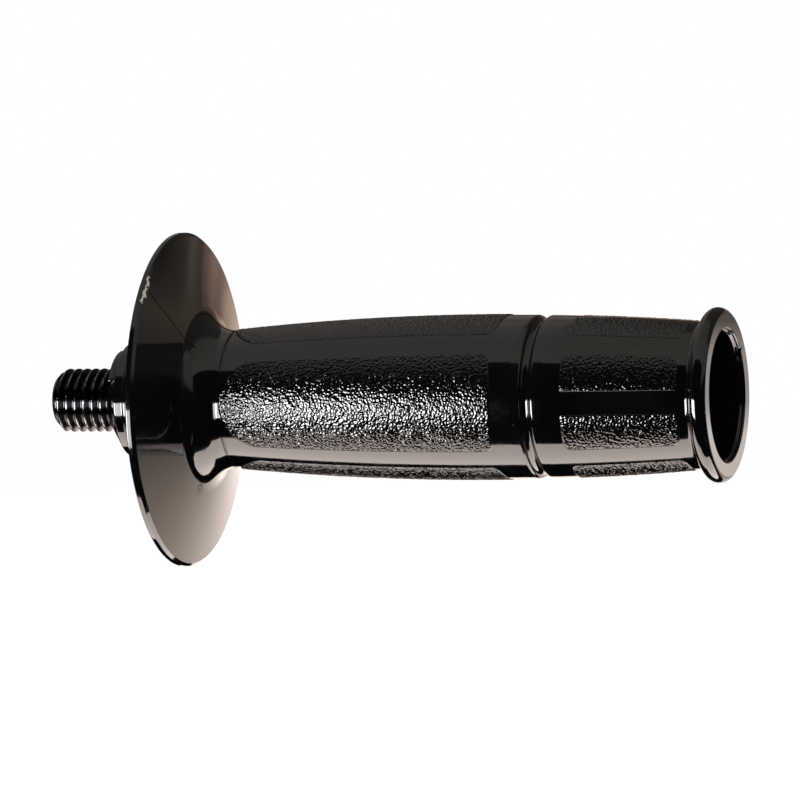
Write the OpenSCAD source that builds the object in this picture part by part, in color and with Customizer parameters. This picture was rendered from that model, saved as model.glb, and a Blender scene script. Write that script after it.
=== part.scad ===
// Screw-in side handle for a hand-held power tool.
// A hollow moulded grip with a wide finger guard, and a threaded steel stud moulded into its nose.
// The handle lies along X: the stud points to -X, the open end of the grip to +X.
// X = 0 is the face of the nose, where the stud leaves the plastic.

/* [Barrel] */
// Diameter of the smooth barrel at its widest place
barrel_d = 35.7; // [34:0.1:38]
// Where along the handle the barrel is widest
barrel_crest_x = 86; // [78:0.5:94]
// Radius of the long bulge that runs over the whole barrel
barrel_arc_r = 614; // [500:1:900]

/* [Finger guard] */
// Diameter of the round guard plate
guard_d = 73.4; // [64:0.1:84]
// Distance from the nose to the tool side of the guard's rim
rim_x = 15; // [13:0.1:18]
// Width of the rim's outer band
rim_w = 1.4; // [1:0.1:2.4]
// Bevel between the rim and the face on the grip side
rim_bevel = 0.65; // [0.3:0.05:1]
// Lean of the guard's face toward the tool, in degrees
guard_lean = 14.5; // [10:0.5:18]
// Thickness of the guard plate
guard_wall = 3; // [2.4:0.1:4]
// Radius of the flare that leads from the barrel into the guard
flare_r = 7; // [4:0.1:9]

/* [Nose] */
// Half angle of the cone at the front of the nose, in degrees
nose_angle = 57; // [45:1:65]
// Diameter of the nose where the cone ends
nose_d = 25; // [24:0.1:28]
// Distance at which the nose steps out to its thicker root
nose_step_x = 5.4; // [4.5:0.1:8]
// Height of that step
nose_step = 0.5; // [0.2:0.1:1]
// Radius of the locating lug on the cone
lug_r = 11; // [9.5:0.1:11.5]
// Distance from the nose to the front of the lug
lug_x = 1.4; // [1:0.1:2]
// Angle around the nose at which the lug starts, from the rest side upward
lug_start = 22; // [0:1:60]
// Angle that the lug covers
lug_span = 58; // [20:1:90]

/* [Ring groove] */
// Middle of the groove that parts the main grip from the rear grip
groove_x = 99.1; // [97.5:0.1:101]
// Radius of the groove's hollow
groove_r = 1.2; // [0.8:0.1:1.4]
// Rounding of the groove's two shoulders
shoulder_r = 0.7; // [0.4:0.1:1]

/* [End bead] */
// Full length of the plastic body
body_len = 139.5; // [136:0.5:146]
// Largest diameter of the bead round the open end
bead_d = 37.9; // [37:0.1:40]
// Radius of the bead's section
bead_r = 2; // [1.6:0.1:2.2]
// Distance from the middle of the bead to the end face
bead_inset = 1.9; // [1.4:0.05:1.95]
// Hollow fillet between the barrel and the bead
neck_r = 1.3; // [0.8:0.1:2]

/* [Hollow] */
// Diameter of the mouth in the end face
mouth_d = 28.7; // [27:0.1:30]
// Depth of the mouth before it steps in
mouth_depth = 0.7; // [0.5:0.1:2]
// Bevel on the edge of the mouth
mouth_bevel = 0.3; // [0.1:0.05:0.5]
// Diameter of the hollow just inside the mouth
bore_d = 27.8; // [26:0.1:28.4]
// Diameter of the hollow at its closed end
bore_end_d = 25.6; // [22:0.1:26]
// Distance from the nose to the closed end of the hollow
bore_end_x = 38; // [36:0.5:60]
// Radius of the small notch in the edge of the mouth
notch_r = 0.6; // [0.3:0.05:0.8]
// Angle of the notch around the mouth
notch_angle = 312; // [0:1:359]

/* [Grip pads] */
// Height of the grained pads over the smooth barrel
pad_rise = 0.2; // [0.1:0.05:0.4]
// Turn of the first pad from the rest side, in degrees
pad_turn = 5; // [-10:0.1:10]
// Half of the angle that a pad covers around the barrel
pad_half_angle = 36.5; // [30:0.5:38]
// Distance from the end of the flare to the rounded tip of a main pad
pad_gap = 0.2; // [0.1:0.1:5]
// Rear end of a main pad
pad_end_x = 91.4; // [80:0.1:93]
// Radius of the bowed rear ends
pad_bow_r = 65; // [40:1:120]
// Rounding of the pads' outer corners
pad_corner_r = 1.7; // [0.8:0.1:2.5]
// Front end of the rear pads
rear_pad_x = 106.9; // [104:0.1:112]
// Distance from the rear pads to the neck of the bead
rear_pad_gap = 1.2; // [0.6:0.1:8]
// Half width of the smooth strip that splits each rear pad
strip_half_w = 2.55; // [1:0.05:4]
// Rounding of the rear pads' corners beside the strip
strip_corner_r = 0.6; // [0.3:0.1:1]

/* [Stud] */
// Outside diameter of the stud's thread
stud_d = 14; // [14:0.1:14]
// Length of the stud outside the nose
stud_len = 13.6; // [10:0.1:24]
// Bevel on the stud's tip
stud_bevel = 1.8; // [1:0.1:2.2]
// Diameter of the plain shank inside the plastic
shank_d = 12.7; // [11:0.1:13.6]
// Where the stud's hidden hexagon head starts
anchor_x = 22; // [20:0.5:24]
// Length of the hexagon head
anchor_len = 8; // [6:0.5:9]
// Width of the hexagon head across its flats
anchor_w = 21; // [18:0.1:22]

/* [Hidden] */
plastic = [0.05, 0.055, 0.06];
steel = [0.2, 0.2, 0.21];
round_sides = 180;
rim_r = guard_d / 2;
nose_r = nose_d / 2;
root_r = nose_r + nose_step;
stud_r = stud_d / 2;
// Profile points are written as [radius, distance along the handle]
arc_centre = [barrel_d / 2 - barrel_arc_r, barrel_crest_x];
bead_centre = [bead_d / 2 - bead_r, body_len - bead_inset];
// The guard's face starts at the bevel and runs inward, leaning toward the grip
face_edge = [rim_r - rim_bevel, rim_x + rim_w + rim_bevel];
face_dir = [-cos(guard_lean), sin(guard_lean)];
face_out = [sin(guard_lean), cos(guard_lean)];
flare_centre = along_to(face_edge + flare_r * face_out, face_dir, arc_centre, barrel_arc_r + flare_r);
flare_face = flare_centre - flare_r * face_out;
flare_barrel = toward(flare_centre, arc_centre, flare_r);
neck_centre = corner(arc_centre, barrel_arc_r + neck_r, bead_centre, bead_r + neck_r);
neck_barrel = toward(neck_centre, arc_centre, neck_r);
neck_bead = toward(neck_centre, bead_centre, neck_r);
back_edge = [rim_r, rim_x];
back_root_x = face_edge[1] + (face_edge[0] - root_r) * tan(guard_lean) - guard_wall / cos(guard_lean);
// A pad's long sides bow with the barrel, so that it covers the same angle all along
pad_tip_x = flare_barrel[1] + pad_gap;
rear_pad_end_x = neck_barrel[1] - rear_pad_gap;
side_r = barrel_arc_r / sin(pad_half_angle);
side_centre = [barrel_crest_x, (barrel_d / 2 + pad_rise) * sin(pad_half_angle) - side_r];
// The round front is a little wider than the pad, and each corner's circle stands a little proud of
// its two edges, so that the curves cross and never only touch
front_r = 1.08 * side_y(pad_tip_x, 0);
front_x = pad_tip_x + front_r;
proud = 0.05;
// Overlap that joins neighbouring shapes and lets cuts run clear of a face
clear = 1;

// Point at a distance from p on the way to q
function toward(p, q, distance) = p + distance * (q - p) / norm(q - p);
// Direction from c to p
function outward(p, c) = (p - c) / norm(p - c);
// First point on the line from p along dir that is the given distance from c
function along_to(p, dir, c, distance) =
  let (w = p - c, b = w * dir)
  p + dir * (-b - sqrt(b ^ 2 - w * w + distance ^ 2));
// Point at distance a from p and b from q, on the outer side of the line between them
function corner(p, a, q, b) =
  let (d = norm(q - p), u = (q - p) / d, h = (a ^ 2 - b ^ 2 + d ^ 2) / (2 * d), k = sqrt(a ^ 2 - h ^ 2))
  p + h * u + k * [u[1], -u[0]];
// Half width of a pad at x, less inset
function side_y(x, inset) = side_centre[1] + sqrt((side_r - inset) ^ 2 - (x - barrel_crest_x) ^ 2);
// Middle of a shoulder circle that touches the barrel's arc from inside and the groove's circle
function shoulder(side) =
  let (x = groove_x + side * sqrt((groove_r + shoulder_r) ^ 2 - shoulder_r ^ 2))
  [arc_centre[0] + sqrt((barrel_arc_r - shoulder_r) ^ 2 - (x - barrel_crest_x) ^ 2), x];
groove_centre = [(shoulder(-1)[0] + shoulder(1)[0]) / 2 + shoulder_r, groove_x];

// The barrel's long bulge between two places, raised by lift
module barrel_run(from_x, to_x, lift) {
  intersection() {
    translate(arc_centre)
      circle(barrel_arc_r + lift, $fn = 1440);
    translate([0, from_x])
      square([barrel_d, to_x - from_x]);
  }
}

// Hollow fillets that lead from the barrel into the guard and into the bead
module fillets() {
  difference() {
    polygon([
      [0, flare_face[1] - clear], [flare_barrel[0], flare_face[1] - clear],
      flare_face, flare_centre, flare_barrel,
      flare_barrel + [-clear, clear], [0, flare_barrel[1] + clear]
    ]);
    translate(flare_centre)
      circle(flare_r);
  }
  difference() {
    polygon([
      [0, neck_barrel[1] - clear], neck_barrel + [-clear, -clear],
      neck_barrel, neck_centre, neck_bead,
      neck_bead + [-clear, clear / 2], [0, neck_bead[1] + clear / 2]
    ]);
    translate(neck_centre)
      circle(neck_r);
  }
}

module bead() {
  intersection() {
    translate(bead_centre)
      circle(bead_r);
    translate([0, neck_barrel[1]])
      square([bead_d, body_len - neck_barrel[1]]);
  }
  polygon([
    [0, neck_bead[1]], neck_bead, bead_centre,
    [bead_centre[0], body_len], [0, body_len]
  ]);
}

// Dished guard plate and the nose that stands out of it
module guard_and_nose() {
  polygon([
    [0, 0], [stud_r, 0],
    [nose_r, (nose_r - stud_r) / tan(nose_angle)],
    [nose_r, nose_step_x], [root_r, nose_step_x + nose_step],
    [root_r, back_root_x],
    back_edge + [-2 * rim_bevel, 0], back_edge + [0, rim_bevel / 2], back_edge + [0, rim_w],
    face_edge, flare_face, [0, flare_face[1]]
  ]);
}

module groove() {
  left = shoulder(-1);
  right = shoulder(1);
  top = groove_centre[0] + 2 * groove_r;
  translate(groove_centre)
    circle(groove_r);
  difference() {
    polygon([
      [top, left[1]], left, toward(left, groove_centre, shoulder_r),
      toward(right, groove_centre, shoulder_r), right, [top, right[1]]
    ]);
    translate(left)
      circle(shoulder_r);
    translate(right)
      circle(shoulder_r);
  }
}

// Hollow of the grip, drawn as the shape that is taken away
module hollow() {
  step_x = body_len - mouth_depth;
  step = (mouth_d - bore_d) / 2;
  polygon([
    [0, bore_end_x], [bore_end_d / 2, bore_end_x],
    [bore_d / 2, step_x - step], [mouth_d / 2, step_x],
    [mouth_d / 2, body_len - mouth_bevel],
    [mouth_d / 2 + mouth_bevel + clear, body_len + clear],
    [0, body_len + clear]
  ]);
}

module turned_body() {
  rotate([0, 90, 0])
    rotate_extrude($fn = round_sides)
      difference() {
        union() {
          guard_and_nose();
          fillets();
          barrel_run(flare_barrel[1], neck_barrel[1], 0);
          bead();
        }
        groove();
        hollow();
      }
}

// Small lug that fills part of the cone's front
module lug() {
  rotate([90 - lug_start - lug_span, 0, 0])
    rotate([0, 90, 0])
      rotate_extrude(angle = lug_span, start = 180, $fn = round_sides)
        translate([stud_r - clear, lug_x])
          square([lug_r - stud_r + clear, nose_step_x - lug_x]);
}

// Flat strip between the pads' two long sides, up to a bowed rear end
module bowed_strip(from_x, to_x) {
  intersection() {
    translate(side_centre)
      circle(side_r, $fn = 2880);
    mirror([0, 1])
      translate(side_centre)
        circle(side_r, $fn = 2880);
    translate([to_x - pad_bow_r, 0])
      circle(pad_bow_r, $fn = 360);
    translate([from_x, -barrel_d / 2])
      square([to_x - from_x + clear, barrel_d]);
  }
}

// What is cut off a corner between the directions a and b from the middle of its rounding
module corner_cut(middle, r, a, b) {
  difference() {
    polygon([middle, middle + 2 * r * a, middle + 2 * r * (a + b), middle + 2 * r * b]);
    translate(middle)
      circle(r, $fn = 48);
  }
}

module rear_corner_cut(to_x) {
  inset = pad_corner_r - proud;
  bow = [to_x - pad_bow_r, 0];
  middle = corner(side_centre, side_r - inset, bow, pad_bow_r - inset);
  corner_cut(middle, pad_corner_r, outward(middle, side_centre), outward(middle, bow));
}

// Flat outline of a main pad, round in front
module main_pad_outline() {
  difference() {
    union() {
      intersection() {
        translate([front_x, 0])
          circle(front_r, $fn = 120);
        bowed_strip(pad_tip_x - clear, front_x + clear);
      }
      bowed_strip(front_x, pad_end_x);
    }
    rear_corner_cut(pad_end_x);
    mirror([0, 1])
      rear_corner_cut(pad_end_x);
  }
}

// Flat outline of one rear pad beside the smooth strip
module rear_pad_outline() {
  bow = [rear_pad_end_x - pad_bow_r, 0];
  inset = pad_corner_r - proud;
  strip_inset = strip_corner_r - proud;
  strip_y = strip_half_w + strip_inset;
  outer = [rear_pad_x + inset, side_y(rear_pad_x + inset, inset)];
  inner = [rear_pad_x + strip_inset, strip_y];
  inner_end = [bow[0] + sqrt((pad_bow_r - strip_inset) ^ 2 - strip_y ^ 2), strip_y];
  difference() {
    bowed_strip(rear_pad_x, rear_pad_end_x);
    translate([rear_pad_x - clear, -barrel_d])
      square([rear_pad_end_x - rear_pad_x + 3 * clear, barrel_d + strip_half_w]);
    rear_corner_cut(rear_pad_end_x);
    corner_cut(outer, pad_corner_r, [-1, 0], outward(outer, side_centre));
    corner_cut(inner, strip_corner_r, [-1, 0], [0, -1]);
    corner_cut(inner_end, strip_corner_r, [0, -1], outward(inner_end, bow));
  }
}

module pads() {
  intersection() {
    rotate([0, 90, 0])
      rotate_extrude($fn = round_sides)
        difference() {
          barrel_run(pad_tip_x - clear, rear_pad_end_x + clear, pad_rise);
          square([mouth_d / 2, body_len]);
        }
    for (turn = [0 : 90 : 270])
      rotate([90 + pad_turn + turn, 0, 0])
        linear_extrude(barrel_d) {
          main_pad_outline();
          rear_pad_outline();
          mirror([0, 1])
            rear_pad_outline();
        }
  }
}

module stud_solid() {
  rotate([0, 90, 0]) {
    rotate_extrude($fn = round_sides)
      polygon([
        [0, -stud_len], [stud_r - stud_bevel, -stud_len],
        [stud_r, stud_bevel - stud_len], [stud_r, 0], [shank_d / 2, 0],
        [shank_d / 2, anchor_x + clear], [0, anchor_x + clear]
      ]);
    translate([0, 0, anchor_x])
      cylinder(h = anchor_len, d = anchor_w / cos(30), $fn = 6);
  }
}

module notch() {
  rotate([notch_angle, 0, 0])
    translate([body_len - mouth_depth, 0, mouth_d / 2])
      rotate([0, 90, 0])
        cylinder(h = mouth_depth + clear, r = notch_r, $fn = 48);
}

// Grip body: glossy black moulded plastic, guard and nose in one piece with the barrel
module grip_body() {
  color(plastic)
    difference() {
      union() {
        turned_body();
        lug();
        pads();
      }
      notch();
      stud_solid();
    }
}

// Threaded stud: black steel, its shank and hexagon head held inside the plastic
module threaded_stud() {
  color(steel)
    stud_solid();
}

grip_body();
threaded_stud();
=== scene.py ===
import math
import bmesh
import bpy
import numpy as np
from mathutils import Matrix, Vector


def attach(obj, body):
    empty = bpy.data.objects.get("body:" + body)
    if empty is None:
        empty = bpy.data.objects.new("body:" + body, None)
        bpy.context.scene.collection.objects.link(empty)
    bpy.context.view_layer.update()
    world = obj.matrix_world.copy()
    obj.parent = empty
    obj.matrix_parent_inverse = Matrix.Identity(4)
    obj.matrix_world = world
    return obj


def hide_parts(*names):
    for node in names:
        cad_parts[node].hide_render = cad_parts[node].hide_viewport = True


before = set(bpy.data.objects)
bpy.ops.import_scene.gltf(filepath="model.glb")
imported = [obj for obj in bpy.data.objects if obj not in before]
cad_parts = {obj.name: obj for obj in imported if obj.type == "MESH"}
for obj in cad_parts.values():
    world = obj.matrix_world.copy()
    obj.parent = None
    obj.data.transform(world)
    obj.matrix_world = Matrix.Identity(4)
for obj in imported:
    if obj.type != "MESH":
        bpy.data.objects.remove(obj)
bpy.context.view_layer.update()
mm = 0.001


# Threaded stud
# A steel stud, turned from bar with a bevelled tip and a rolled right-hand thread, then blackened.
# It is laid in the mould, and the plastic closes round its plain shank, so nothing else holds it.
stud_d = 14.0
stud_len = 13.6
stud_bevel = 1.8
thread_pitch = 2.0
thread_depth = 1.23
crest_w = 0.28
stud_facets = 128
rows_per_turn = 26
buried = 0.6
flank_angle = math.radians(30)
end_slope = 4.0
spare_turns = 4.0
black_steel = (0.035, 0.035, 0.038, 1)
worn_steel = (0.22, 0.22, 0.225, 1)
worn_from_r = 6.7
worn_patches = (0.38, 0.62)
blotches_per_m = 900.0
blotch_range = (0.2, 0.8)
steel_roughness = (0.12, 0.22)
scuffs_per_m = 4200.0
scuff_height = 0.02
scuff_strength = 0.25


def put(tree, kind, sockets=None, **settings):
    node = tree.nodes.new(kind)
    for name, value in settings.items():
        setattr(node, name, value)
    for key, value in (sockets or {}).items():
        if isinstance(value, bpy.types.NodeSocket):
            tree.links.new(value, node.inputs[key])
        else:
            node.inputs[key].default_value = value
    return node


def calc(tree, operation, *values):
    return put(tree, "ShaderNodeMath", dict(enumerate(values)), operation=operation).outputs[0]


def ramp(tree, value, low, high, to_low=0.0, to_high=1.0):
    node = put(tree, "ShaderNodeMapRange", {0: value, 1: low, 2: high, 3: to_low, 4: to_high},
               interpolation_type="SMOOTHSTEP")
    return node.outputs[0]


def noise(tree, place, per_m, detail):
    return put(tree, "ShaderNodeTexNoise", {"Vector": place, "Scale": per_m, "Detail": detail}).outputs[0]


def from_axis(tree, split):
    """Distance of a point, given by its parts, from the handle's axis"""
    return calc(tree, "SQRT", calc(tree, "ADD", calc(tree, "POWER", split[1], 2.0),
                                   calc(tree, "POWER", split[2], 2.0)))


def shaping_tree(name, inputs):
    tree = bpy.data.node_groups.new(name, "GeometryNodeTree")
    tree.is_modifier = True
    tree.interface.new_socket("Geometry", in_out="OUTPUT", socket_type="NodeSocketGeometry")
    kinds = {float: "NodeSocketFloat", int: "NodeSocketInt"}
    tree.interface.new_socket("Geometry", in_out="INPUT", socket_type="NodeSocketGeometry")
    for label, value in inputs.items():
        tree.interface.new_socket(label, in_out="INPUT", socket_type=kinds[type(value)])
    tree.interface.new_socket("Finish", in_out="INPUT", socket_type="NodeSocketMaterial")
    return tree, tree.nodes.new("NodeGroupInput").outputs


def close_tree(tree, geometry, finish):
    real = put(tree, "GeometryNodeRealizeInstances", {"Geometry": geometry})
    done = put(tree, "GeometryNodeSetMaterial", {"Geometry": real.outputs[0], "Material": finish})
    out = tree.nodes.new("NodeGroupOutput")
    tree.links.new(done.outputs[0], out.inputs[0])


def shaped(name, tree, values, finish, start=None):
    blank = bpy.data.objects.new(name + "_blank", start or bpy.data.meshes.new(name + "_blank"))
    bpy.context.scene.collection.objects.link(blank)
    step = blank.modifiers.new("shape", "NODES")
    step.node_group = tree
    for item in tree.interface.items_tree:
        if item.in_out == "INPUT" and item.name in values:
            step[item.identifier] = values[item.name]
        elif item.in_out == "INPUT" and item.name == "Finish":
            step[item.identifier] = finish
    bpy.context.view_layer.update()
    mesh = bpy.data.meshes.new_from_object(blank.evaluated_get(bpy.context.evaluated_depsgraph_get()))
    bpy.data.objects.remove(blank)
    mesh.name = name
    piece = bpy.data.objects.new(name, mesh)
    bpy.context.scene.collection.objects.link(piece)
    return piece


def tidy_mesh(piece, merge=1e-6):
    work = bmesh.new()
    work.from_mesh(piece.data)
    bmesh.ops.remove_doubles(work, verts=work.verts, dist=merge)
    bmesh.ops.dissolve_degenerate(work, edges=work.edges, dist=merge / 2)
    bmesh.ops.recalc_face_normals(work, faces=work.faces)
    for face in work.faces:
        face.smooth = True
    work.to_mesh(piece.data)
    work.free()


def finish_material(name):
    material = bpy.data.materials.new(name)
    material.use_nodes = True
    tree = material.node_tree
    place = put(tree, "ShaderNodeTexCoord").outputs["Object"]
    return material, tree, tree.nodes["Principled BSDF"], place


def threads(sizes):
    tree, give = shaping_tree("stud_thread", sizes)
    radius = calc(tree, "MULTIPLY", give["Outside diameter"], 0.5)
    pitch, length = give["Pitch"], give["Length"]
    turns = calc(tree, "ADD", calc(tree, "CEIL", calc(tree, "DIVIDE", length, pitch)), spare_turns)
    rows = calc(tree, "ADD", calc(tree, "MULTIPLY", turns, give["Rows per turn"]), 1.0)
    grid = put(tree, "GeometryNodeMeshGrid", {"Size X": 1.0, "Size Y": 1.0})
    tree.links.new(calc(tree, "ADD", give["Facets"], 1.0), grid.inputs["Vertices X"])
    tree.links.new(rows, grid.inputs["Vertices Y"])
    split = put(tree, "ShaderNodeSeparateXYZ", {0: put(tree, "GeometryNodeInputPosition").outputs[0]})
    around = calc(tree, "ADD", split.outputs[0], 0.5)
    along = calc(tree, "MULTIPLY", calc(tree, "ADD", split.outputs[1], 0.5), turns)
    # Each row climbs one pitch per turn, so the grid closes on itself one thread further on
    start = calc(tree, "ADD", length, calc(tree, "MULTIPLY", pitch, spare_turns / 2))
    start = calc(tree, "MULTIPLY", start, -1.0)
    x = calc(tree, "ADD", start, calc(tree, "MULTIPLY", pitch, calc(tree, "ADD", along, around)))
    phase = calc(tree, "ABSOLUTE", calc(tree, "SUBTRACT", calc(tree, "FRACT", along), 0.5))
    from_crest = calc(tree, "SUBTRACT", calc(tree, "MULTIPLY", phase, pitch),
                      calc(tree, "MULTIPLY", give["Crest width"], 0.5))
    depth = give["Thread depth"]
    flank = calc(tree, "MULTIPLY", depth, math.tan(flank_angle))
    fall = put(tree, "ShaderNodeMapRange", {0: from_crest, 1: 0.0, 2: flank, 3: 0.0, 4: depth},
               interpolation_type="LINEAR")
    thread_r = calc(tree, "SUBTRACT", radius, fall.outputs[0])
    past_tip = calc(tree, "ADD", x, length)
    bevel_r = calc(tree, "ADD", calc(tree, "SUBTRACT", radius, give["Tip bevel"]),
                   calc(tree, "ADD", calc(tree, "MAXIMUM", past_tip, 0.0),
                        calc(tree, "MULTIPLY", calc(tree, "MINIMUM", past_tip, 0.0), end_slope)))
    past_end = calc(tree, "SUBTRACT", give["Buried"], x)
    core = calc(tree, "SUBTRACT", radius, depth)
    end_r = calc(tree, "ADD", core, calc(tree, "MULTIPLY", past_end, end_slope))
    r = calc(tree, "MAXIMUM", calc(tree, "MINIMUM", calc(tree, "MINIMUM", thread_r, bevel_r), end_r), 0.0)
    x_held = calc(tree, "MAXIMUM", x, calc(tree, "MULTIPLY", length, -1.0))
    x_held = calc(tree, "MINIMUM", x_held, give["Buried"])
    turn = calc(tree, "MULTIPLY", around, 2 * math.pi)
    at = put(tree, "ShaderNodeCombineXYZ", {
        0: x_held,
        1: calc(tree, "MULTIPLY", r, calc(tree, "COSINE", turn)),
        2: calc(tree, "MULTIPLY", calc(tree, "MULTIPLY", r, calc(tree, "SINE", turn)), -1.0)})
    moved = put(tree, "GeometryNodeSetPosition",
                {"Geometry": grid.outputs["Mesh"], "Position": at.outputs[0]})
    close_tree(tree, moved.outputs[0], give["Finish"])
    return tree


stud_finish, tree, shader, place = finish_material("blackened_steel")
off_axis = from_axis(tree, put(tree, "ShaderNodeSeparateXYZ", {0: place}).outputs)
blotch = noise(tree, place, blotches_per_m, 4.0)
crest_wear = calc(tree, "MULTIPLY", ramp(tree, off_axis, worn_from_r * mm, stud_d / 2 * mm),
                  ramp(tree, blotch, *worn_patches))
tone = put(tree, "ShaderNodeMix", {0: crest_wear, 6: black_steel, 7: worn_steel}, data_type="RGBA")
tree.links.new(tone.outputs[2], shader.inputs["Base Color"])
tree.links.new(ramp(tree, blotch, *blotch_range, *steel_roughness), shader.inputs["Roughness"])
scuff = noise(tree, place, scuffs_per_m, 3.0)
bump = put(tree, "ShaderNodeBump", {"Strength": scuff_strength, "Distance": scuff_height * mm,
                                    "Height": scuff})
tree.links.new(bump.outputs[0], shader.inputs["Normal"])
shader.inputs["Metallic"].default_value = 1.0

stud_sizes = {
    "Outside diameter": stud_d * mm, "Pitch": thread_pitch * mm, "Length": stud_len * mm,
    "Thread depth": thread_depth * mm, "Crest width": crest_w * mm, "Tip bevel": stud_bevel * mm,
    "Buried": buried * mm, "Facets": stud_facets, "Rows per turn": rows_per_turn,
}
threaded_stud = shaped("stud_with_thread", threads(stud_sizes), stud_sizes, stud_finish)
tidy_mesh(threaded_stud)
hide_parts("threaded_stud")
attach(threaded_stud, "root")


# Moulded grip body
# One hollow moulding in glossy black plastic: nose, finger guard, barrel, ring groove and beaded end.
# It is turned round one axis, moulded on the stud, with a small lug on the nose and a nick in the mouth.
barrel_d = 35.7
barrel_crest_x = 86.0
barrel_arc_r = 614.0
guard_d = 73.4
rim_x = 15.0
rim_w = 1.4
rim_bevel = 0.65
guard_lean = math.radians(14.5)
guard_wall = 3.0
flare_r = 7.0
nose_angle = math.radians(57)
nose_d = 25.0
nose_step_x = 5.4
nose_step = 0.5
lug_r = 11.0
lug_x = 1.4
lug_back_x = 4.2
lug_root_r = 8.0
lug_start = 22
lug_span = 58
lug_steps = 30
shank_hole_r = 5.5
shank_hole_depth = 1.0
groove_x = 99.1
groove_r = 1.2
shoulder_r = 0.7
body_len = 139.5
bead_d = 37.9
bead_r = 2.0
bead_inset = 1.9
neck_r = 1.3
mouth_d = 28.7
mouth_depth = 0.7
mouth_bevel = 0.3
bore_d = 27.8
bore_end_d = 25.6
bore_end_x = 38.0
notch_r = 0.6
notch_angle = 312
notch_sink = 0.2
edge_slack = 0.02
corner_support = 0.1
supported_from = 0.5
steps_around = 336
merge_gap = 2e-7
# Degrees between the profile's points on its arcs, and millimetres on the barrel
corner_step = 15.0
flare_step = 2.0
groove_step = 10.0
neck_step = 8.0
bead_step = 7.0
barrel_step = 2.5
# The gloss: its colours, its roughness and its faint relief
gloss_black = (0.0022, 0.0026, 0.0034, 1)
scuffed_black = (0.0042, 0.0042, 0.0044, 1)
clouds_per_m = 70.0
cloud_patches = (0.35, 0.65)
cloud_range = (0.3, 0.7)
handling_per_m = 600.0
handled_range = (0.3, 0.75)
gloss_roughness = (0.05, 0.10)
cloud_roughness = 0.02
waves_per_m = 160.0
wave_height = 0.012
wave_strength = 0.5
skin_per_m = 2400.0
skin_height = 0.004
skin_strength = 0.25
plastic_specular = 0.7
# The marks that moulding and use have left
breaks_per_m = 900.0
seam_angle = math.radians(41.3)
seam_from_r = mouth_d / 2 + 1.0
seam_half_w = 0.09
seam_core = 0.2 * seam_half_w
seam_height = 0.03
seam_strength = 1.0
seam_breaks = (0.38, 0.56)
scratch_half_w = 0.24
scratch_core = 0.4 * scratch_half_w
scratch_len = 6.0
chip_x = 16.75
chip_from, chip_to = math.radians(35), math.radians(47)
chip_core, chip_half_w = 0.12, 0.26
chip_wander = 1.6
chip_depth = 1.2
dust_per_m = 220.0
dust_size = (0.012, 0.026)
dust_strength = 0.5
crumbs_per_m = 2300.0
crumb_limits = (0.50, 0.55)
dirt_at = (21.4, -5.9, -19.4)
dirt_reach = 2.6
dirt_core = 0.3 * dirt_reach
mark_roughness = 0.6
dulling = 0.95
pale_mark = (0.55, 0.48, 0.40, 1)
brown_dirt = (0.02, 0.013, 0.008, 1)


def vec(x, r):
    return np.array([x, r], float)


def toward(p, q, distance):
    return p + distance * (q - p) / np.linalg.norm(q - p)


def arc(centre, start, end, step):
    """Points on the circle about centre from start to end, the short way round"""
    radius = np.linalg.norm(start - centre)
    a, b = (math.atan2(*(p - centre)[::-1]) for p in (start, end))
    sweep = (b - a + math.pi) % (2 * math.pi) - math.pi
    count = max(3, math.ceil(abs(math.degrees(sweep)) / step))
    return [centre + radius * vec(math.cos(a + sweep * i / count), math.sin(a + sweep * i / count))
            for i in range(count + 1)]


def rounded(corners):
    """Path through (x, radius, rounding) corners, each with its edge rounded"""
    path = []
    for i, (x, r, soft) in enumerate(corners):
        here = vec(x, r)
        if not soft or i in (0, len(corners) - 1):
            path.append(here)
            continue
        before, after = vec(*corners[i - 1][:2]), vec(*corners[i + 1][:2])
        u = (before - here) / np.linalg.norm(before - here)
        v = (after - here) / np.linalg.norm(after - here)
        half = math.acos(np.clip(u @ v, -1, 1)) / 2
        centre = here + (u + v) / np.linalg.norm(u + v) * soft / math.sin(half)
        reach = soft / math.tan(half)
        path += arc(centre, here + u * reach, here + v * reach, corner_step)
    return path


def barrel_radius(x):
    return barrel_d / 2 - barrel_arc_r + math.sqrt(barrel_arc_r ** 2 - (x - barrel_crest_x) ** 2)


barrel_centre = vec(barrel_crest_x, barrel_d / 2 - barrel_arc_r)
bead_centre = vec(body_len - bead_inset, bead_d / 2 - bead_r)
face_edge = vec(rim_x + rim_w + rim_bevel, guard_d / 2 - rim_bevel)
face_in = vec(math.sin(guard_lean), -math.cos(guard_lean))
face_out = vec(math.cos(guard_lean), math.sin(guard_lean))
line = face_edge + flare_r * face_out - barrel_centre
along = line @ face_in
reach = -along - math.sqrt(along ** 2 - line @ line + (barrel_arc_r + flare_r) ** 2)
flare_centre = face_edge + flare_r * face_out + reach * face_in
flare_face = flare_centre - flare_r * face_out
flare_barrel = toward(flare_centre, barrel_centre, flare_r)
span = np.linalg.norm(bead_centre - barrel_centre)
unit = (bead_centre - barrel_centre) / span
near = ((barrel_arc_r + neck_r) ** 2 - (bead_r + neck_r) ** 2 + span ** 2) / (2 * span)
neck_centre = (barrel_centre + near * unit
               + math.sqrt((barrel_arc_r + neck_r) ** 2 - near ** 2) * vec(-unit[1], unit[0]))
neck_barrel = toward(neck_centre, barrel_centre, neck_r)
neck_bead = toward(neck_centre, bead_centre, neck_r)
shoulders = []
for side in (-1, 1):
    x = groove_x + side * math.sqrt((groove_r + shoulder_r) ** 2 - shoulder_r ** 2)
    r = barrel_centre[1] + math.sqrt((barrel_arc_r - shoulder_r) ** 2 - (x - barrel_crest_x) ** 2)
    shoulders.append(vec(x, r))
groove_centre = vec(groove_x, (shoulders[0][1] + shoulders[1][1]) / 2 + shoulder_r)

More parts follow.
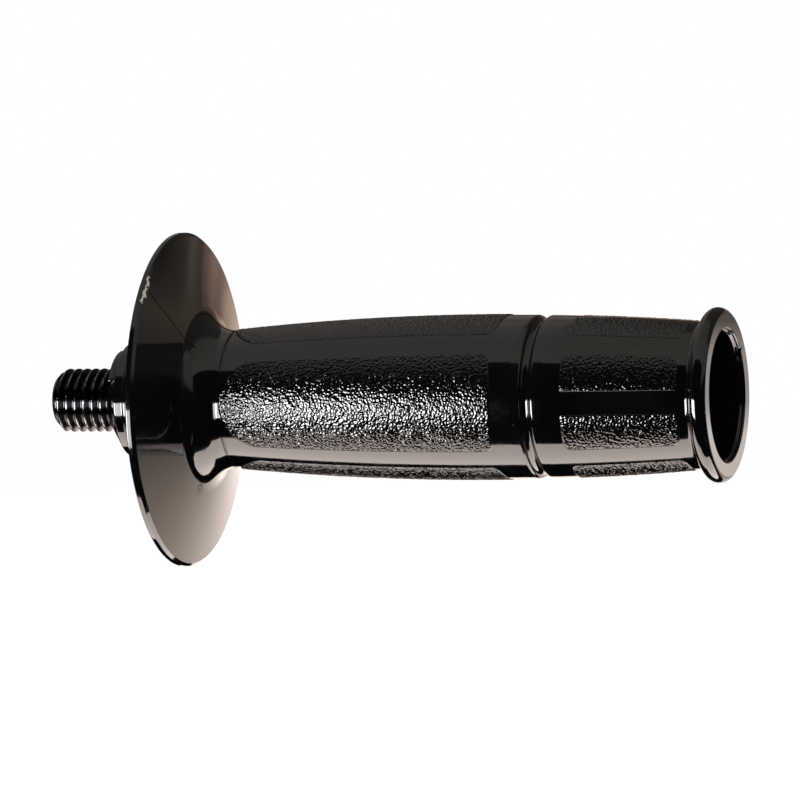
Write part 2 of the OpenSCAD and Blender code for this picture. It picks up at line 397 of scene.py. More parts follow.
root_r = nose_d / 2 + nose_step
back_root_x = (face_edge[0] + (face_edge[1] - root_r) * math.tan(guard_lean)
               - guard_wall / math.cos(guard_lean))
cone_x = (nose_d / 2 - stud_d / 2) / math.tan(nose_angle)
rim_r = guard_d / 2
nose_and_rim = rounded([
    (shank_hole_depth, 0, 0), (shank_hole_depth, shank_hole_r, 0), (0, shank_hole_r, 0),
    (0, stud_d / 2, 0.15), (cone_x, nose_d / 2, 0.3),
    (nose_step_x, nose_d / 2, 0.2), (nose_step_x + nose_step, root_r, 0.3), (back_root_x, root_r, 1.0),
    (rim_x, rim_r - 2 * rim_bevel, 0.6), (rim_x + rim_bevel / 2, rim_r, 0.25),
    (rim_x + rim_w, rim_r, 0.2), (*face_edge, 0.2), (*flare_face, 0)])
end_and_bore = rounded([
    (*(bead_centre + vec(bead_r * math.sin(math.acos(bead_inset / bead_r)), 0)), 0),
    (body_len, mouth_d / 2 + mouth_bevel, 0.08), (body_len - mouth_bevel, mouth_d / 2, 0.08),
    (body_len - mouth_depth, mouth_d / 2, 0.1),
    (body_len - mouth_depth - (mouth_d - bore_d) / 2, bore_d / 2, 0.15),
    (bore_end_x, bore_end_d / 2, 1.2), (bore_end_x, 0, 0)])
bead_top = bead_centre + bead_r * vec(bead_inset / bead_r, math.sqrt(1 - (bead_inset / bead_r) ** 2))
bead_turn = arc(bead_centre, neck_bead, bead_centre + vec(0, bead_r), bead_step)[:-1]
bead_turn += arc(bead_centre, bead_centre + vec(0, bead_r), bead_top, bead_step)


def barrel_line(from_x, to_x):
    count = max(1, math.ceil((to_x - from_x) / barrel_step))
    return [vec(x, barrel_radius(x)) for x in np.linspace(from_x, to_x, count + 1)]


left_touch, right_touch = (toward(barrel_centre, s, barrel_arc_r) for s in shoulders)
left_in, right_in = (toward(s, groove_centre, shoulder_r) for s in shoulders)
groove_low = groove_centre - vec(0, groove_r)


def supported(path):
    """The same path with points just beside its corners, which keep the shading of its flats flat"""
    points = []
    for p, q in zip(path, path[1:]):
        points.append(p)
        if np.linalg.norm(q - p) > supported_from:
            points += [toward(p, q, corner_support), toward(q, p, corner_support)]
    return points + [path[-1]]


profile = supported(nose_and_rim)[:-1]
profile += arc(flare_centre, flare_face, flare_barrel, flare_step)[:-1]
profile += barrel_line(flare_barrel[0], left_touch[0])[:-1]
profile += arc(shoulders[0], left_touch, left_in, groove_step)[:-1]
profile += arc(groove_centre, left_in, groove_low, groove_step)[:-1]
profile += arc(groove_centre, groove_low, right_in, groove_step)[:-1]
profile += arc(shoulders[1], right_in, right_touch, groove_step)[:-1]
profile += barrel_line(right_touch[0], neck_barrel[0])[:-1]
profile += arc(neck_centre, neck_barrel, neck_bead, neck_step)[:-1]
profile += bead_turn[:-1] + supported([bead_turn[-1]] + end_and_bore[1:])


def turning(sizes):
    tree, give = shaping_tree("turned_profile", sizes)
    count = put(tree, "GeometryNodeAttributeDomainSize", {0: give["Geometry"]}, component="MESH").outputs[0]
    grid = put(tree, "GeometryNodeMeshGrid", {"Size X": 1.0, "Size Y": 1.0, "Vertices Y": count})
    tree.links.new(calc(tree, "ADD", give["Steps around"], 1.0), grid.inputs["Vertices X"])
    index = put(tree, "GeometryNodeInputIndex").outputs[0]
    step = calc(tree, "FLOOR", calc(tree, "DIVIDE", calc(tree, "ADD", index, 0.5), count))
    row = calc(tree, "SUBTRACT", index, calc(tree, "MULTIPLY", step, count))
    here = put(tree, "GeometryNodeInputPosition").outputs[0]
    point = put(tree, "GeometryNodeSampleIndex", {"Geometry": give["Geometry"], "Index": row, "Value": here},
                data_type="FLOAT_VECTOR", domain="POINT")
    split = put(tree, "ShaderNodeSeparateXYZ", {0: point.outputs[0]})
    turn = calc(tree, "MULTIPLY", calc(tree, "DIVIDE", step, give["Steps around"]), 2 * math.pi)
    at = put(tree, "ShaderNodeCombineXYZ", {
        0: split.outputs[0],
        1: calc(tree, "MULTIPLY", split.outputs[1], calc(tree, "COSINE", turn)),
        2: calc(tree, "MULTIPLY", split.outputs[1], calc(tree, "SINE", turn))})
    moved = put(tree, "GeometryNodeSetPosition",
                {"Geometry": grid.outputs["Mesh"], "Position": at.outputs[0]})
    close_tree(tree, moved.outputs[0], give["Finish"])
    return tree


def overlap(tree, *masks):
    """1 only where every mask is 1"""
    whole = masks[0]
    for mask in masks[1:]:
        whole = calc(tree, "MULTIPLY", whole, mask)
    return whole


grip_finish, tree, shader, place = finish_material("gloss_black_plastic")
cloud = noise(tree, place, clouds_per_m, 5.0)
handled = noise(tree, place, handling_per_m, 6.0)
tone = put(tree, "ShaderNodeMix", {0: ramp(tree, cloud, *cloud_patches), 6: gloss_black,
                                   7: scuffed_black}, data_type="RGBA")
split = put(tree, "ShaderNodeSeparateXYZ", {0: place}).outputs
off_axis = from_axis(tree, split)
up_angle = calc(tree, "ARCTAN2", split[2], calc(tree, "MULTIPLY", split[1], -1.0))
broken = noise(tree, place, breaks_per_m, 3.0)

# A pale chipped line on the guard's rim, a few grains of dust, and dirt under the flare
wander = calc(tree, "MULTIPLY", calc(tree, "SUBTRACT", broken, 0.5), chip_wander * mm)
chip_line = calc(tree, "ADD", chip_x * mm, wander)
from_chip = calc(tree, "ABSOLUTE", calc(tree, "SUBTRACT", split[0], chip_line))
chip = overlap(tree, ramp(tree, from_chip, chip_core * mm, chip_half_w * mm, 1.0, 0.0),
               calc(tree, "GREATER_THAN", up_angle, chip_from), calc(tree, "LESS_THAN", up_angle, chip_to),
               calc(tree, "GREATER_THAN", off_axis, (guard_d / 2 - chip_depth) * mm))
dust = put(tree, "ShaderNodeTexVoronoi", {"Vector": place, "Scale": dust_per_m}).outputs["Distance"]
marked = calc(tree, "MAXIMUM", chip, ramp(tree, dust, *dust_size, dust_strength, 0.0))
dirt_middle = [c * mm for c in dirt_at]
from_dirt = put(tree, "ShaderNodeVectorMath", {0: place, 1: dirt_middle}, operation="DISTANCE").outputs[1]
dirt = calc(tree, "MULTIPLY", ramp(tree, from_dirt, dirt_core * mm, dirt_reach * mm, 1.0, 0.0),
            ramp(tree, noise(tree, place, crumbs_per_m, 1.0), *crumb_limits))
tone = put(tree, "ShaderNodeMix", {0: dirt, 6: tone.outputs[2], 7: brown_dirt}, data_type="RGBA")
tone = put(tree, "ShaderNodeMix", {0: marked, 6: tone.outputs[2], 7: pale_mark}, data_type="RGBA")
tree.links.new(tone.outputs[2], shader.inputs["Base Color"])
rough = calc(tree, "ADD", ramp(tree, handled, *handled_range, *gloss_roughness),
             ramp(tree, cloud, *cloud_range, 0.0, cloud_roughness))
rough = calc(tree, "ADD", rough, calc(tree, "MULTIPLY", marked, mark_roughness))
tree.links.new(rough, shader.inputs["Roughness"])

# The two mould halves leave a fine line along the outside
from_seam = calc(tree, "ADD", calc(tree, "MULTIPLY", split[1], math.sin(seam_angle)),
                 calc(tree, "MULTIPLY", split[2], math.cos(seam_angle)))
from_seam = calc(tree, "ABSOLUTE", from_seam)
seam = overlap(tree, ramp(tree, from_seam, seam_core * mm, seam_half_w * mm, 1.0, 0.0),
               ramp(tree, broken, *seam_breaks), calc(tree, "GREATER_THAN", off_axis, seam_from_r * mm))
# On the guard's face it is a dark scratch, which mirrors less, as the dirt does
scratch = overlap(tree, ramp(tree, from_seam, scratch_core * mm, scratch_half_w * mm, 1.0, 0.0),
                  calc(tree, "GREATER_THAN", up_angle, 0.0),
                  calc(tree, "GREATER_THAN", split[0], (rim_x + rim_w) * mm),
                  calc(tree, "LESS_THAN", split[0], (face_edge[0] + scratch_len) * mm))
dulled = calc(tree, "MULTIPLY", calc(tree, "MAXIMUM", scratch, dirt), dulling)
mirrored = calc(tree, "MULTIPLY", calc(tree, "SUBTRACT", 1.0, dulled), plastic_specular)
tree.links.new(mirrored, shader.inputs["Specular IOR Level"])

bump = None
reliefs = [(wave_strength, wave_height, noise(tree, place, waves_per_m, 2.0)),
           (skin_strength, skin_height, noise(tree, place, skin_per_m, 3.0)),
           (seam_strength, seam_height, seam)]
for strength, distance, height in reliefs:
    sockets = {"Strength": strength, "Distance": distance * mm, "Height": height}
    if bump:
        sockets["Normal"] = bump.outputs[0]
    bump = put(tree, "ShaderNodeBump", sockets)
tree.links.new(bump.outputs[0], shader.inputs["Normal"])

outline = bpy.data.meshes.new("grip_profile")
outline.from_pydata([(x * mm, r * mm, 0) for x, r in profile],
                    [(i, i + 1) for i in range(len(profile) - 1)], [])
grip_sizes = {"Steps around": steps_around}
grip_body = shaped("moulded_grip", turning(grip_sizes), grip_sizes, grip_finish, outline)
for v in grip_body.data.vertices:
    x, y, z = (c / mm for c in v.co)
    r = math.hypot(y, z)
    from_notch = (math.degrees(math.atan2(-y, z)) - notch_angle + 180) % 360 - 180
    across = math.radians(from_notch) * mouth_d / 2
    on_edge = mouth_d / 2 - notch_sink < r < mouth_d / 2 + notch_r
    if on_edge and x > body_len - mouth_depth - edge_slack and abs(across) < notch_r:
        wider = max(r, mouth_d / 2 + math.sqrt(notch_r ** 2 - across ** 2))
        v.co = (v.co.x, v.co.y * wider / r, v.co.z * wider / r)
tidy_mesh(grip_body, merge_gap)

# The lug is one short rib round the cone, sunk into it
lug = bmesh.new()
lug.from_mesh(grip_body.data)
lug_path = rounded([(lug_back_x, lug_root_r, 0), (lug_x, lug_root_r, 0.1), (lug_x, lug_r, 0.25),
                    (lug_back_x, lug_r, 0)])
rings = []
for i in range(lug_steps + 1):
    up = math.radians(lug_start + lug_span * i / lug_steps)
    rings.append([lug.verts.new((x * mm, -r * math.cos(up) * mm, r * math.sin(up) * mm))
                  for x, r in lug_path])
added = [lug.faces.new(rings[0]), lug.faces.new(rings[-1][::-1])]
for a, b in zip(rings, rings[1:]):
    for j in range(len(lug_path)):
        k = (j + 1) % len(lug_path)
        added.append(lug.faces.new((a[j], b[j], b[k], a[k])))
bmesh.ops.recalc_face_normals(lug, faces=added)
for face in added:
    face.smooth = len(face.verts) == 4
    face.material_index = grip_body.data.polygons[0].material_index
lug.to_mesh(grip_body.data)
lug.free()
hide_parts("grip_body")
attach(grip_body, "root")


# Grained grip pads
# Four long pads and four short split ones stand a little proud of the barrel, with a leather-like grain.
# They are part of the same moulding: the grain is etched into the mould, so it is in the surface itself.
pad_rise = 0.2
pad_turn = 5.0
pad_half_angle = math.radians(36.5)
pad_gap = 0.2
pad_end_x = 91.4
pad_bow_r = 65.0
pad_corner_r = 1.7
rear_pad_x = 106.9
rear_pad_gap = 1.2
strip_half_w = 2.55
strip_corner_r = 0.6
pad_tip_width = 1.08
pad_edge_w = 0.32
pad_mesh_step = 0.15
side_draw = 0.2
end_tries = 8
skirt_depth = 0.3
grain_size = 0.37
grain_height = 0.16
grain_seed = 0.37
grain_bend = 1.2
grain_detail = 0.7
grain_roughness = 0.45
grain_limits = (0.27, 0.73)
grain_crease = (0.0020, 0.0022, 0.0028, 1)
grain_top = (0.0040, 0.0040, 0.0043, 1)
pores_per_m = 3600.0
pore_range = (0.3, 0.7)
pore_height = 0.008
pore_strength = 0.5
pad_roughness = (0.13, 0.19)
grain_top_polish = 0.06


def leather(tree, place, cell, seed):
    """Height of the grain, 0 in its creases and 1 on its tops"""
    shift = put(tree, "ShaderNodeCombineXYZ", {0: seed, 1: seed, 2: seed}).outputs[0]
    moved = put(tree, "ShaderNodeVectorMath", {0: place, 1: shift}, operation="ADD").outputs[0]
    drift = put(tree, "ShaderNodeTexNoise", {"Vector": moved, "Scale": 0.5 / cell, "Detail": 0.0})
    bend = put(tree, "ShaderNodeVectorMath", {0: drift.outputs[1], 3: cell * grain_bend}, operation="SCALE")
    bent = put(tree, "ShaderNodeVectorMath", {0: moved, 1: bend.outputs[0]}, operation="ADD").outputs[0]
    worms = put(tree, "ShaderNodeTexNoise", {"Vector": bent, "Scale": 1.0 / cell, "Detail": grain_detail,
                                             "Roughness": grain_roughness}).outputs[0]
    return ramp(tree, worms, *grain_limits)


pad_tip_x = flare_barrel[0] + pad_gap
rear_pad_end_x = neck_barrel[0] - rear_pad_gap


def pad_radius(x):
    return barrel_radius(x) + pad_rise


def pad_grid(from_x, to_x, low_angle, low_r, high_r, front_r):
    """Flat grid of one pad, whose lines follow its own outline, with each point's distance to the edge"""
    bow_x = to_x - pad_bow_r

    def across(v, x):
        low = low_angle(x)
        return pad_radius(x) * math.sin(low + (pad_half_angle - low) * v)

    def reach(v, end):
        x = to_x if end else from_x
        for _ in range(end_tries):
            y = across(v, x)
            near_low, near_high = y - across(0, x), across(1, x) - y
            soft, gap, inward = (low_r, near_low, 1) if near_low < near_high else (high_r, near_high, -1)
            if gap < soft and end:
                middle = y + (soft - gap) * inward
                x = (bow_x + math.sqrt((pad_bow_r - soft) ** 2 - middle ** 2)
                     + math.sqrt(max(0, soft ** 2 - (soft - gap) ** 2)))
            elif end:
                x = bow_x + math.sqrt(pad_bow_r ** 2 - y ** 2)
            elif front_r:
                x = from_x + front_r - math.sqrt(max(0, front_r ** 2 - y ** 2))
            elif gap < soft:
                x = from_x + soft - math.sqrt(max(0, soft ** 2 - (soft - gap) ** 2))
        return x

    arc_w = pad_radius(to_x) * (pad_half_angle - low_angle(to_x))
    steps = np.linspace(0, 1, round(arc_w / pad_mesh_step) + 1)
    # Rows draw together towards the sides, where the outline turns its corners
    steps = (1 - side_draw) * steps + side_draw * (0.5 - 0.5 * np.cos(np.pi * steps))
    count = round((to_x - from_x) / pad_mesh_step) + 1
    rows = []
    for v in steps:
        xs = np.linspace(reach(v, False), reach(v, True), count)
        rows.append([(x, across(v, x)) for x in xs])
    grid = np.array(rows)
    starts = np.concatenate([grid[0], grid[:, -1], grid[-1][::-1], grid[::-1, 0]])
    step = np.roll(starts, -1, 0) - starts
    size = np.maximum((step ** 2).sum(1), 1e-12)
    points = grid.reshape(-1, 2)
    best = np.full(len(points), np.inf)
    for a, d, s in zip(starts, step, size):
        t = np.clip(((points - a) @ d) / s, 0, 1)
        best = np.minimum(best, ((points - a - t[:, None] * d) ** 2).sum(1))
    return grid, np.sqrt(best).reshape(grid.shape[:2])


def flat_pads(name, grids):
    """One flat mesh of several pads, with a skirt round each that goes down into the barrel"""
    corners, faces, edge, sunk = [], [], [], []
    for grid, distance in grids:
        rows, cols = grid.shape[:2]
        base = len(corners)
        corners += [(x, y, 0) for x, y in grid.reshape(-1, 2)]
        edge += list(distance.reshape(-1))
        sunk += [0.0] * (rows * cols)
        for i in range(rows - 1):
            for j in range(cols - 1):
                first = base + i * cols + j
                faces.append((first, first + 1, first + cols + 1, first + cols))
        ring = list(range(cols))
        ring += [i * cols + cols - 1 for i in range(1, rows)]
        ring += [(rows - 1) * cols + j for j in range(cols - 2, -1, -1)]
        ring += [i * cols for i in range(rows - 2, 0, -1)]
        low = len(corners)
        corners += [corners[base + k] for k in ring]
        edge += [0.0] * len(ring)
        sunk += [1.0] * len(ring)
        for i, here in enumerate(ring):
            after = (i + 1) % len(ring)
            faces.append((low + i, low + after, base + ring[after], base + here))
    mesh = bpy.data.meshes.new(name)
    mesh.from_pydata([(x * mm, y * mm, z * mm) for x, y, z in corners], [], faces)
    for label, values in (("edge", np.array(edge) * mm), ("sunk", np.array(sunk))):
        mesh.attributes.new(label, "FLOAT", "POINT").data.foreach_set("value", values.astype(np.float32))
    return mesh


def padding(sizes):
    tree, give = shaping_tree("grained_pads", sizes)
    ring = put(tree, "GeometryNodeMeshLine", {"Count": give["Count"], "Offset": (0, 0, 0)}).outputs[0]
    index = put(tree, "GeometryNodeInputIndex").outputs[0]
    share = calc(tree, "MULTIPLY", calc(tree, "DIVIDE", index, give["Count"]), 2 * math.pi)
    spin = put(tree, "ShaderNodeCombineXYZ", {0: calc(tree, "ADD", give["Turn"], share)}).outputs[0]
    # Wrap the flat pad onto the barrel's long bulge, then turn copies of it round the axis
    split = put(tree, "ShaderNodeSeparateXYZ", {0: put(tree, "GeometryNodeInputPosition").outputs[0]})
    x, y = split.outputs[0], split.outputs[1]
    off = calc(tree, "SUBTRACT", x, give["Crest"])
    square = calc(tree, "POWER", give["Bulge radius"], 2.0)
    drop = calc(tree, "SQRT", calc(tree, "SUBTRACT", square, calc(tree, "POWER", off, 2.0)))
    drop = calc(tree, "SUBTRACT", drop, give["Bulge radius"])
    bulge = calc(tree, "ADD", calc(tree, "ADD", drop, give["Barrel radius"]), give["Rise"])
    height = calc(tree, "SUBTRACT", calc(tree, "POWER", bulge, 2.0), calc(tree, "POWER", y, 2.0))
    raised = put(tree, "ShaderNodeCombineXYZ", {0: x, 1: y, 2: calc(tree, "SQRT", height)}).outputs[0]
    wrapped = put(tree, "GeometryNodeSetPosition", {"Geometry": give["Geometry"], "Position": raised})
    copies = put(tree, "GeometryNodeInstanceOnPoints",
                 {"Points": ring, "Instance": wrapped.outputs[0], "Rotation": spin})
    real = put(tree, "GeometryNodeRealizeInstances", {"Geometry": copies.outputs[0]})
    edge = put(tree, "GeometryNodeInputNamedAttribute", {"Name": "edge"}, data_type="FLOAT").outputs[0]
    sunk = put(tree, "GeometryNodeInputNamedAttribute", {"Name": "sunk"}, data_type="FLOAT").outputs[0]
    at = put(tree, "GeometryNodeInputPosition").outputs[0]
    grain = leather(tree, at, grain_size * mm, give["Seed"])
    kept = put(tree, "GeometryNodeStoreNamedAttribute",
               {"Geometry": real.outputs[0], "Name": "grain", "Value": grain},
               data_type="FLOAT", domain="POINT")
    shoulder = ramp(tree, edge, 0.0, give["Edge width"])
    crease = calc(tree, "MULTIPLY", calc(tree, "SUBTRACT", 1.0, grain),
                  calc(tree, "MULTIPLY", shoulder, give["Grain depth"]))
    fallen = calc(tree, "MULTIPLY", calc(tree, "SUBTRACT", 1.0, shoulder), give["Rise"])
    low = calc(tree, "ADD", calc(tree, "ADD", crease, fallen),
               calc(tree, "MULTIPLY", sunk, skirt_depth * mm))
    flat = put(tree, "ShaderNodeVectorMath", {0: at, 1: (0, -1, -1)}, operation="MULTIPLY").outputs[0]
    inward = put(tree, "ShaderNodeVectorMath", {0: flat}, operation="NORMALIZE").outputs[0]
    shift = put(tree, "ShaderNodeVectorMath", {0: inward, 3: low}, operation="SCALE").outputs[0]
    moved = put(tree, "GeometryNodeSetPosition", {"Geometry": kept.outputs[0], "Offset": shift})
    close_tree(tree, moved.outputs[0], give["Finish"])
    return tree


pad_finish, tree, shader, place = finish_material("grained_black_plastic")
grain = put(tree, "ShaderNodeAttribute", attribute_name="grain").outputs["Fac"]
pores = noise(tree, place, pores_per_m, 3.0)
tone = put(tree, "ShaderNodeMix", {0: grain, 6: grain_crease, 7: grain_top}, data_type="RGBA")
tree.links.new(tone.outputs[2], shader.inputs["Base Color"])
rough = calc(tree, "SUBTRACT", ramp(tree, pores, *pore_range, *pad_roughness),
             calc(tree, "MULTIPLY", grain, grain_top_polish))
tree.links.new(rough, shader.inputs["Roughness"])
bump = put(tree, "ShaderNodeBump", {"Strength": pore_strength, "Distance": pore_height * mm,
                                    "Height": pores})
tree.links.new(bump.outputs[0], shader.inputs["Normal"])
shader.inputs["Specular IOR Level"].default_value = plastic_specular

pad_sizes = {
    "Count": 1, "Turn": 0.0, "Crest": barrel_crest_x * mm,
    "Bulge radius": barrel_arc_r * mm, "Barrel radius": barrel_d / 2 * mm, "Rise": pad_rise * mm,
    "Edge width": pad_edge_w * mm, "Grain depth": grain_height * mm, "Seed": grain_seed,
}
pad_tree = padding(pad_sizes)
main_pad = pad_grid(pad_tip_x, pad_end_x, lambda x: -pad_half_angle, pad_corner_r, pad_corner_r,
                    pad_tip_width * pad_radius(pad_tip_x) * math.sin(pad_half_angle))
upper, from_edge = pad_grid(rear_pad_x, rear_pad_end_x, lambda x: math.asin(strip_half_w / pad_radius(x)),
                            strip_corner_r, pad_corner_r, 0)
rear_pad = [(upper, from_edge), (upper[::-1] * (1, -1), from_edge[::-1])]
pad_kinds = [
    ("long_pad_near", [main_pad], 1, 90), ("long_pad_under", [main_pad], 1, 180),
    ("long_pad_far", [main_pad], 1, 270), ("long_pad_top", [main_pad], 1, 0),
    ("split_rear_pads", rear_pad, 4, 90),
]
for name, grids, count, turn in pad_kinds:
    pad_sizes["Count"], pad_sizes["Turn"] = count, math.radians(turn + pad_turn)
    pads = shaped(name, pad_tree, pad_sizes, pad_finish, flat_pads(name + "_flat", grids))
    for face in pads.data.polygons:
        face.use_smooth = True
    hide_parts("grip_body")
    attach(pads, "root")


# Studio
# A pale floor under the floating handle, and a ring of cards and soft panels that its gloss reflects.
# Soft ceiling cards hang above, a bright table lies below, and a white key panel stands on the left.
floor_z = -0.16
floor_half_w = 4
floor_near, floor_far = -4, 12
floor_white = (0.85, 0.85, 0.85, 1)
floor_roughness = 0.9
floor_lift = 0.5
left_x, right_x = -0.95, 0.95
end_half_w = 0.62
card_reach = 0.6
card_rows = 24
backing_reach = 0.63
backing_step = 10
unlit = (0.0, 0.0, 0.0)
# Each card's name, its ends along the handle, and its light at angles upward from the camera's side
ring_cards = [
    ("key_panel", left_x, -0.23, [(-32, (30, 30, 30)), (-7, (30, 30, 30))]),
    ("key_panel_edge", -0.23, -0.13, [(-32, (9, 9, 9)), (-7, (9, 9, 9))]),
    ("ceiling_card", left_x, -0.05, [(49, (0.50, 0.47, 0.44)), (130, (0.34, 0.31, 0.29))]),
    ("ceiling_card_right", -0.05, right_x, [
        (47, (0.50, 0.48, 0.43)), (88, (0.36, 0.35, 0.31)), (108, (0.28, 0.27, 0.24)),
        (116, (0.10, 0.09, 0.08)), (160, (0.07, 0.06, 0.05))]),
    ("back_card_upper", left_x, -0.05, [(130, (0.24, 0.22, 0.20)), (168, (0.32, 0.28, 0.25))]),
]
# The bright table top, as x with the angles of its near and far edge there
table_light = (5.0, 4.35, 4.0)
table_parts = 6
table_edges = [(left_x, 251, 294), (0.04, 251, 290), (0.10, 232, 284), (0.18, 221, 278), (0.30, 218, 272),
               (0.42, 220, 267), (0.55, 225, 260), (0.66, 237, 250)]
# The wall behind, as height with the light at its left and at its right end
wall_y = 0.2
wall_ends = (-0.06, 0.20, 0.42)
wall_stops = [
    (0.100, (0.02, 0.01, 0.01), (0.05, 0.03, 0.02)), (0.092, (0.02, 0.01, 0.01), (0.06, 0.04, 0.03)),
    (0.0875, (0.01, 0.01, 0.01), (0.07, 0.05, 0.03)), (0.0825, (0.01, 0.01, 0.01), (0.15, 0.12, 0.09)),
    (0.078, (0.01, 0.01, 0.01), (0.20, 0.15, 0.12)), (0.0735, (0.34, 0.22, 0.18), (0.28, 0.22, 0.17)),
    (0.070, (0.16, 0.10, 0.08), (0.28, 0.22, 0.17)), (0.0665, (0.08, 0.05, 0.04), (0.25, 0.20, 0.15)),
    (0.062, (0.45, 0.28, 0.22), (0.23, 0.18, 0.14)), (0.055, (0.70, 0.46, 0.36), (0.22, 0.17, 0.13)),
    (0.047, (0.52, 0.34, 0.26), (0.24, 0.19, 0.15)), (0.035, (0.95, 0.68, 0.54), (0.28, 0.23, 0.18)),
    (0.017, (1.15, 0.88, 0.74), (0.28, 0.24, 0.20)),
    (0.010, (1.35, 1.14, 0.96), (1.0, 0.88, 0.78)), (-0.002, (1.65, 1.45, 1.30), (1.1, 1.0, 0.92)),
    (-0.009, (1.9, 1.7, 1.55), (2.1, 1.9, 1.75)), (-0.020, (2.1, 1.84, 1.68), (1.9, 1.65, 1.45)),
    (-0.045, (2.3, 1.98, 1.80), (0.70, 0.58, 0.50)), (-0.060, (2.4, 2.06, 1.86), (0.95, 0.78, 0.66)),
    (-0.080, (2.5, 2.12, 1.88), (1.32, 1.07, 0.89)), (-0.105, (2.5, 2.1, 1.85), (1.6, 1.27, 1.04)),
]
left_end_light = (0.04, 0.04, 0.04)
left_end_stops = [(-end_half_w, left_end_light), (end_half_w, left_end_light)]
right_end_light = (0.36, 0.35, 0.32)
right_end_stops = [(-0.6, unlit), (0.13, unlit), (0.22, right_end_light), (0.6, right_end_light)]
soft_light = 0.55
lamp_place = Vector((-0.5, -0.5, 1.3))
lamp_size = 1.2
lamp_power = 9.0

card_glow = bpy.data.materials.new("card_glow")
card_glow.use_nodes = True
tree = card_glow.node_tree
tree.nodes.clear()
glow = put(tree, "ShaderNodeAttribute", attribute_name="glow").outputs["Color"]
light = put(tree, "ShaderNodeEmission", {"Color": glow})
tree.links.new(light.outputs[0], put(tree, "ShaderNodeOutputMaterial").inputs[0])


def hang_card(name, rows):
    """A strip of card through rows of (place, place, light, light)"""
    mesh = bpy.data.meshes.new(name)
    mesh.from_pydata([place for row in rows for place in row[:2]], [],
                     [(2 * i, 2 * i + 1, 2 * i + 3, 2 * i + 2) for i in range(len(rows) - 1)])
    glow = mesh.attributes.new("glow", "FLOAT_COLOR", "POINT")
    for spot, colour in zip(glow.data, [colour for row in rows for colour in row[2:]]):
        spot.color = [*colour, 1]
    card = bpy.data.objects.new(name, mesh)
    bpy.context.scene.collection.objects.link(card)
    mesh.materials.append(card_glow)
    for way in ("visible_camera", "visible_diffuse", "visible_transmission", "visible_shadow"):
        setattr(card, way, False)


def on_ring(x, angle, reach):
    return x, -reach * math.cos(math.radians(angle)), reach * math.sin(math.radians(angle))


for name, x0, x1, stops in ring_cards:
    angles = [a for a, _ in stops]
    rows = []
    for angle in np.unique(np.concatenate([np.linspace(angles[0], angles[-1], card_rows), angles])):
        light = tuple(np.interp(angle, angles, [colour[i] for _, colour in stops]) for i in range(3))
        rows.append((on_ring(x0, angle, card_reach), on_ring(x1, angle, card_reach), light, light))
    hang_card(name, rows)
places, lows, highs = zip(*table_edges)
for part in range(table_parts):
    low, high = ([a + (b - a) * t for a, b in zip(lows, highs)]
                 for t in (part / table_parts, (part + 1) / table_parts))
    rows = [(on_ring(x, a, card_reach), on_ring(x, b, card_reach), table_light, table_light)
            for x, a, b in zip(places, low, high)]
    hang_card("table_card_" + str(part), rows)
hang_card("backing_card", [
    (on_ring(left_x, a, backing_reach), on_ring(right_x, a, backing_reach), unlit, unlit)
    for a in range(0, 361, backing_step)])
hang_card("wall_card_left", [((wall_ends[0], wall_y, z), (wall_ends[1], wall_y, z), left, right)
                             for z, left, right in wall_stops])
hang_card("wall_card_right", [((wall_ends[1], wall_y, z), (wall_ends[2], wall_y, z), right, right)
                              for z, left, right in wall_stops])
end_cards = [("left_end_card", left_x, left_end_stops), ("right_end_card", right_x, right_end_stops)]
for name, x, stops in end_cards:
    hang_card(name, [((x, -end_half_w, z), (x, end_half_w, z), light, light) for z, light in stops])

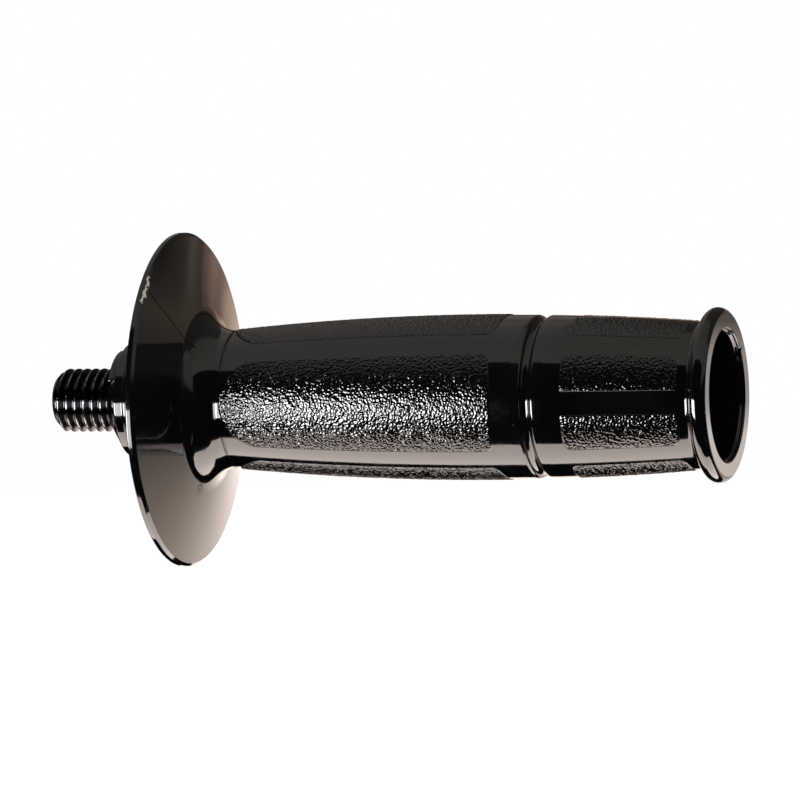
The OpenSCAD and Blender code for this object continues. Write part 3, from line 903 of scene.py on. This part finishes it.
floor_corners = [(x, y, floor_z) for x, y in ((-floor_half_w, floor_near), (floor_half_w, floor_near),
                                              (floor_half_w, floor_far), (-floor_half_w, floor_far))]
floor_mesh = bpy.data.meshes.new("floor")
floor_mesh.from_pydata(floor_corners, [], [(0, 1, 2, 3)])
floor = bpy.data.objects.new("floor", floor_mesh)
bpy.context.scene.collection.objects.link(floor)
floor.visible_glossy = False
floor_finish, tree, shader, place = finish_material("pale_floor")
shader.inputs["Base Color"].default_value = floor_white
shader.inputs["Roughness"].default_value = floor_roughness
seen = put(tree, "ShaderNodeLightPath").outputs["Is Camera Ray"]
lift = calc(tree, "MULTIPLY", seen, floor_lift)
lighten = put(tree, "ShaderNodeEmission", {"Color": (1, 1, 1, 1), "Strength": lift})
both = put(tree, "ShaderNodeAddShader", {0: shader.outputs[0], 1: lighten.outputs[0]})
tree.links.new(both.outputs[0], tree.nodes["Material Output"].inputs[0])
floor_mesh.materials.append(floor_finish)

world = bpy.data.worlds.new("studio")
bpy.context.scene.world = world
world.use_nodes = True
tree = world.node_tree
tree.nodes.clear()
path = put(tree, "ShaderNodeLightPath").outputs
seen = calc(tree, "MAXIMUM", calc(tree, "MAXIMUM", path["Is Camera Ray"], path["Is Glossy Ray"]),
            path["Is Transmission Ray"])
soft = put(tree, "ShaderNodeBackground", {"Color": (1, 1, 1, 1), "Strength": soft_light})
white = put(tree, "ShaderNodeBackground", {"Color": (1, 1, 1, 1), "Strength": 1.0})
mixed = put(tree, "ShaderNodeMixShader", {0: seen, 1: soft.outputs[0], 2: white.outputs[0]})
out = put(tree, "ShaderNodeOutputWorld")
tree.links.new(mixed.outputs[0], out.inputs[0])

lamp_data = bpy.data.lights.new("soft_lamp", "AREA")
lamp_data.size = lamp_size
lamp_data.energy = lamp_power
lamp = bpy.data.objects.new("soft_lamp", lamp_data)
lamp.matrix_world = (Matrix.Translation(lamp_place)
                     @ lamp_place.to_track_quat("Z", "Y").to_matrix().to_4x4())
lamp.visible_glossy = False
lamp.visible_camera = False
bpy.context.scene.collection.objects.link(lamp)
bpy.context.scene.view_settings.view_transform = "Standard"

# The camera stands level with the handle and a little round towards its open end
camera_turn = math.radians(18.23)
camera_roll = math.radians(-0.44)
camera_far = 1.547
camera_lens = 319.6
film_w = 36
sight_end = 100
aim = Vector((0.0655, 0, -0.00049))
away = Vector((math.sin(camera_turn), -math.cos(camera_turn), 0))
camera_data = bpy.data.cameras.new("photo_camera")
camera_data.sensor_width = film_w
camera_data.lens = camera_lens
camera_data.clip_end = sight_end
camera = bpy.data.objects.new("photo_camera", camera_data)
camera.matrix_world = (Matrix.Translation(aim + camera_far * away)
                       @ away.to_track_quat("Z", "Y").to_matrix().to_4x4()
                       @ Matrix.Rotation(camera_roll, 4, "Z"))
bpy.context.scene.collection.objects.link(camera)
bpy.context.scene.camera = camera
